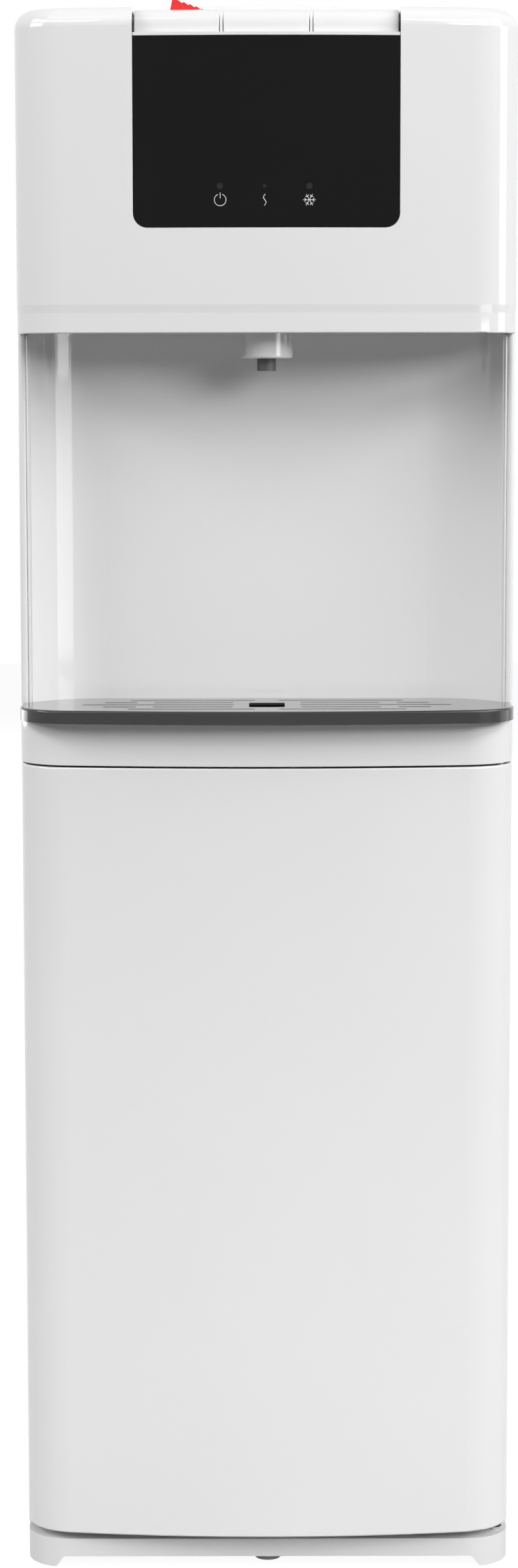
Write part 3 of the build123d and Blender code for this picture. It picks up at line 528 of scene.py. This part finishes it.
# on and off marks sunk into the two faces of each rocker switch
marks = {
    "heating_switch": -0.110, "cooling_switch": -0.084,
    "size": 0.0030, "stroke": 0.00045, "thick": 0.00006, "sides": 48,
    "on": {"y": 0.16850, "z": 0.91481, "tilt": 99.4},
    "off": {"y": 0.16948, "z": 0.90788, "tilt": 64.6},
}


def rockerMarks(body):
    size, stroke = marks["size"], marks["stroke"]
    clearSelection()
    bpy.ops.mesh.primitive_plane_add(size=stroke, location=(0, -size / 2, 0))
    onMark = bpy.context.object
    bpy.ops.object.transform_apply(location=True)
    bpy.ops.object.mode_set(mode="EDIT")
    keepVerts(lambda co: co.y > -size / 2)
    pushOut((0, size - stroke, 0))
    thicken(marks["thick"])
    clearSelection()
    bpy.ops.mesh.primitive_circle_add(vertices=marks["sides"], radius=size / 2)
    offMark = bpy.context.object
    bpy.ops.object.mode_set(mode="EDIT")
    widenInwards(size / 2, stroke)
    thicken(marks["thick"])
    for piece, place in ((onMark, marks["on"]), (offMark, marks["off"])):
        piece.rotation_euler = (math.radians(place["tilt"]), 0, math.pi)
        piece.location = (marks[body], place["y"], place["z"])
    selectOnly(onMark, offMark)
    bpy.ops.object.join()
    return settle(onMark, body.split("_")[0] + "Marks", body, "white_matte")


signPieces = [powerSign(), waveSign(), frostSign()]
signPieces += [rockerMarks(body) for body in ("heating_switch", "cooling_switch")]
print("signs printed:", len(signPieces))


# pan-head screws with a cross recess, one modelled and then copied
screwLook = {
    "radius": 0.0036, "rise": 0.0022, "sides": 32, "dome": 0.6, "domeSteps": 5, "shank": 0.0017,
    "cross": 0.0044, "blade": 0.0008, "deep": 0.0013, "narrow": 0.45, "twist": 37, "smooth": 40,
}
rearScrews = {"x": 0.155, "y": 0.16775, "low": 0.0396, "high": 0.994, "rows": 6}
hingeScrews = {"z": 0.0214, "places": ((0.142, -0.112), (0.142, -0.096))}


def crossCutter():
    rise = screwLook["rise"]
    clearSelection()
    bpy.ops.mesh.primitive_cube_add(size=1, location=(0, 0, rise))
    cutter = bpy.context.object
    bpy.ops.object.mode_set(mode="EDIT")
    blade = (screwLook["cross"], screwLook["blade"], 2 * screwLook["deep"])
    bpy.ops.transform.resize(value=blade, center_override=(0, 0, rise))
    keepVerts(lambda co: co.z < rise)
    narrow = (screwLook["narrow"], 1, 1)  # the recess narrows inwards
    bpy.ops.transform.resize(value=narrow, center_override=(0, 0, 0))
    bpy.ops.mesh.select_all(action="SELECT")
    turnCopy(90)
    bpy.ops.object.mode_set(mode="OBJECT")
    return cutter


def screwHead():
    radius, rise = screwLook["radius"], screwLook["rise"]
    cutter = crossCutter()
    clearSelection()
    bpy.ops.mesh.primitive_cylinder_add(
        vertices=screwLook["sides"], radius=radius, depth=rise, location=(0, 0, rise / 2)
    )
    head = bpy.context.object
    bpy.ops.object.transform_apply(location=True)
    bpy.ops.object.mode_set(mode="EDIT")
    pickVerts(lambda co: co.z > rise / 2)
    bpy.ops.mesh.bevel(
        offset=screwLook["dome"] * rise, segments=screwLook["domeSteps"], affect="EDGES"
    )
    pickVerts(lambda co: co.z < tiny)
    bpy.ops.mesh.inset(thickness=radius - screwLook["shank"])
    pushOut((0, 0, -2 * rise))  # shank down into the sheet
    bpy.ops.object.mode_set(mode="OBJECT")
    recess = head.modifiers.new("recess", "BOOLEAN")
    recess.operation = "DIFFERENCE"
    recess.object = cutter
    recess.solver = "EXACT"
    recess.use_self = True
    bpy.ops.object.modifier_apply(modifier="recess")
    bpy.data.objects.remove(cutter)
    bpy.ops.object.shade_smooth_by_angle(angle=math.radians(screwLook["smooth"]))
    return head


def screwSet(name, places, turn):
    head = screwHead()
    copies = [head]
    while len(copies) < len(places):
        selectOnly(head)
        bpy.ops.object.duplicate(linked=False)
        copies.append(bpy.context.object)
    for step, (copy, place) in enumerate(zip(copies, places)):
        twist = math.radians(screwLook["twist"] * step)
        copy.rotation_euler = (turn, twist, 0) if turn else (0, 0, twist)
        copy.location = place
    selectOnly(*copies)
    bpy.ops.object.join()
    return settle(head, name, "cabinet", "zinc_steel")


rowStep = (rearScrews["high"] - rearScrews["low"]) / (rearScrews["rows"] - 1)
rearPlaces = [
    (side * rearScrews["x"], rearScrews["y"], rearScrews["low"] + rowStep * row)
    for side in (-1, 1) for row in range(rearScrews["rows"])
]
hingePlaces = [(x, y, hingeScrews["z"]) for x, y in hingeScrews["places"]]
rearSet = screwSet("rearScrews", rearPlaces, -math.pi / 2)
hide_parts("rear_panel_screws")
hingeSet = screwSet("hingeScrews", hingePlaces, 0)
print("screws driven:", len(rearSet.data.polygons) + len(hingeSet.data.polygons), "faces")


# bead along each seam between the alcove liner and a side panel
beadLook = {
    "x": 0.15635, "y": -0.1216, "wide": 0.0014, "low": 0.5691, "high": 0.8184,
    "round": 0.0005, "roundSteps": 5, "smooth": 40,
}


def edgeBead(side):
    foot = (side * beadLook["x"], beadLook["y"], beadLook["low"])
    clearSelection()
    bpy.ops.mesh.primitive_plane_add(size=beadLook["wide"], location=foot)
    piece = bpy.context.object
    bpy.ops.object.mode_set(mode="EDIT")
    thicken(beadLook["high"] - beadLook["low"])
    bpy.ops.object.mode_set(mode="EDIT")
    pickVerts(lambda co: co.y < 0)
    bpy.ops.mesh.bevel(
        offset=beadLook["round"], segments=beadLook["roundSteps"], affect="EDGES"
    )
    bpy.ops.object.mode_set(mode="OBJECT")
    bpy.ops.object.shade_smooth_by_angle(angle=math.radians(beadLook["smooth"]))
    return settle(piece, "leftBead" if side < 0 else "rightBead", "cabinet", "white_gloss")


beads = [edgeBead(side) for side in (-1, 1)]
print("beads laid:", len(beads))


# round-wire springs under the keys, as tall as the CAD springs they stand in for
springLook = {
    "wire": 0.00045, "turns": 4, "steps": 28, "sides": 10, "dip": 0.0022, "smooth": 50,
}


def keySpring(key):
    low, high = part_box(key + "_key_spring")
    wire, turns = springLook["wire"], springLook["turns"]
    tall = high.z - low.z
    middle = ((low.x + high.x) / 2, (low.y + high.y) / 2)
    clearSelection()
    bpy.ops.mesh.primitive_circle_add(
        vertices=springLook["sides"], radius=wire,
        location=((high.x - low.x) / 2 - wire, 0, 0), rotation=(math.pi / 2, 0, 0),
    )
    piece = bpy.context.object
    bpy.ops.object.transform_apply(location=True, rotation=True)
    coil = piece.modifiers.new("coil", "SCREW")
    coil.axis = "Z"
    coil.angle = 2 * math.pi
    coil.iterations = turns
    coil.screw_offset = (tall - 2 * wire) / turns
    coil.steps = coil.render_steps = springLook["steps"]
    bpy.ops.object.modifier_apply(modifier="coil")
    bpy.ops.object.mode_set(mode="EDIT")
    bpy.ops.mesh.select_all(action="SELECT")
    bpy.ops.mesh.fill_holes(sides=springLook["sides"])
    bpy.ops.mesh.select_all(action="SELECT")
    bpy.ops.mesh.normals_make_consistent(inside=False)
    bpy.ops.object.mode_set(mode="OBJECT")
    bpy.ops.object.shade_smooth_by_angle(angle=math.radians(springLook["smooth"]))
    piece.location = (*middle, low.z + wire)
    settle(piece, key + "Spring", "cabinet", "bare_steel")
    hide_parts(key + "_key_spring")
    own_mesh(piece)
    return piece


springs = [keySpring(key) for key in ("hot", "room", "cold")]
print("springs wound:", len(springs))


# studio: pale floor, white surroundings for the camera and the gloss, soft lamps
floorLook = {"wide": 14, "white": 0.945, "shadow": 0.12, "bounce": 0.15}
roomLook = {"ambient": 0.02, "seen": 1.0}


def seenDirectly(tree):
    path = tree.nodes.new("ShaderNodeLightPath")
    seen = combine(tree, path.outputs["Is Camera Ray"], path.outputs["Is Glossy Ray"], "MAXIMUM")
    return combine(tree, seen, path.outputs["Is Transmission Ray"], "MAXIMUM")


def floorFinish():
    finish = bpy.data.materials.new("paleFloor")
    finish.use_nodes = True
    tree = finish.node_tree
    tree.nodes.remove(tree.nodes["Principled BSDF"])
    white = tree.nodes.new("ShaderNodeEmission")
    white.inputs["Strength"].default_value = floorLook["white"]
    shadow = tree.nodes.new("ShaderNodeBsdfDiffuse")
    shadow.inputs["Color"].default_value = (floorLook["shadow"],) * 3 + (1,)
    both = tree.nodes.new("ShaderNodeAddShader")
    tree.links.new(white.outputs[0], both.inputs[0])
    tree.links.new(shadow.outputs[0], both.inputs[1])
    bounce = tree.nodes.new("ShaderNodeBsdfDiffuse")
    bounce.inputs["Color"].default_value = (floorLook["bounce"],) * 3 + (1,)
    mix = tree.nodes.new("ShaderNodeMixShader")
    tree.links.new(seenDirectly(tree), mix.inputs["Fac"])
    tree.links.new(bounce.outputs[0], mix.inputs[1])
    tree.links.new(both.outputs[0], mix.inputs[2])
    tree.links.new(mix.outputs[0], tree.nodes["Material Output"].inputs["Surface"])
    return finish


clearSelection()
bpy.ops.mesh.primitive_plane_add(size=floorLook["wide"], location=(0, 0, 0))
floor = bpy.context.object
floor.name = "floor"
floor.data.materials.append(floorFinish())

room = bpy.data.worlds.new("studio")
scene.world = room
room.use_nodes = True
roomTree = room.node_tree
backdrop = roomTree.nodes["Background"]
backdrop.inputs["Color"].default_value = (1, 1, 1, 1)
level = roomTree.nodes.new("ShaderNodeMapRange")
level.inputs["To Min"].default_value = roomLook["ambient"]
level.inputs["To Max"].default_value = roomLook["seen"]
roomTree.links.new(seenDirectly(roomTree), level.inputs["Value"])
roomTree.links.new(level.outputs["Result"], backdrop.inputs["Strength"])

# a lamp is a soft box unless it says otherwise; its glow is its radiance
softBox = {
    "aim": (0, 0, 0.6), "size": (2.4, 1.0), "spread": 180, "mirrored": True, "lights": True,
}
lamps = {
    "leftLow": {"place": (-4.087, -1.488, 2.098), "glow": 8.6},
    "leftMid": {"place": (-3.497, -1.273, 3.304), "glow": 8.4},
    "frontLeft": {"place": (-2.135, -3.048, 3.304), "glow": 3.4},
    "frontHigh": {"place": (-1.513, -2.161, 4.368), "glow": 1.6},
    "frontLow": {"place": (2.495, -3.563, 2.098), "glow": 9.0},
    "frontMid": {"place": (2.135, -3.048, 3.304), "glow": 4.6},
    "rightLow": {"place": (4.087, -1.488, 2.098), "glow": 8.9},
    "rightMid": {"place": (3.497, -1.273, 3.304), "glow": 7.4},
    "back": {
        "place": (0, 4.4, 2.6), "aim": (0, 0, 0.5), "size": (4.0, 2.2), "glow": 4.6,
        "mirrored": False,
    },
    "doorFill": {
        "place": (0, -2.3, 0.25), "aim": (0, 0, 0.06), "size": (2.2, 0.4), "glow": 0.37,
        "spread": 32, "mirrored": False,
    },
    # strips that show in the gloss alone
    "alcoveStrip": {
        "place": (1.061, -0.922, 0.655), "aim": (-0.134, -0.101, 0.655), "size": (0.60, 0.34),
        "glow": 3.0, "lights": False,
    },
    "nozzleStrip": {
        "place": (0.796, -0.74, 0.813), "aim": (0.0075, -0.124, 0.813), "size": (0.31, 0.05),
        "glow": 4.8, "lights": False,
    },
    "cornerStrip": {
        "place": (1.501, -0.10, 0.995), "aim": (0.152, -0.147, 0.995), "size": (0.48, 0.33),
        "glow": 3.8, "lights": False,
    },
    "trayLeft": {
        "place": (-1.158, 0.763, 0.441), "aim": (-0.155, -0.14, 0.441), "size": (0.85, 0.03),
        "glow": 4.6, "lights": False,
    },
    "trayRight": {
        "place": (1.439, 0.277, 0.441), "aim": (0.155, -0.14, 0.441), "size": (0.8, 0.03),
        "glow": 1.9, "lights": False,
    },
}


def addLamp(name, look):
    wide, tall = look["size"]
    clearSelection()
    bpy.ops.object.light_add(type="AREA", location=look["place"])
    lamp = bpy.context.object
    lamp.name = name
    lamp.data.shape = "RECTANGLE"
    lamp.data.size, lamp.data.size_y = wide, tall
    lamp.data.spread = math.radians(look["spread"])
    lamp.visible_glossy = look["mirrored"]
    lamp.visible_diffuse = look["lights"]
    lamp.data.energy = look["glow"] * math.pi * wide * tall
    x, y, z = (a - b for a, b in zip(look["aim"], look["place"]))
    lift = math.atan2(z, math.hypot(x, y))
    lamp.rotation_euler = (math.pi / 2 + lift, 0, math.atan2(-x, y))


for name, look in lamps.items():
    addLamp(name, {**softBox, **look})
print("studio lit:", len(lamps), "lamps")
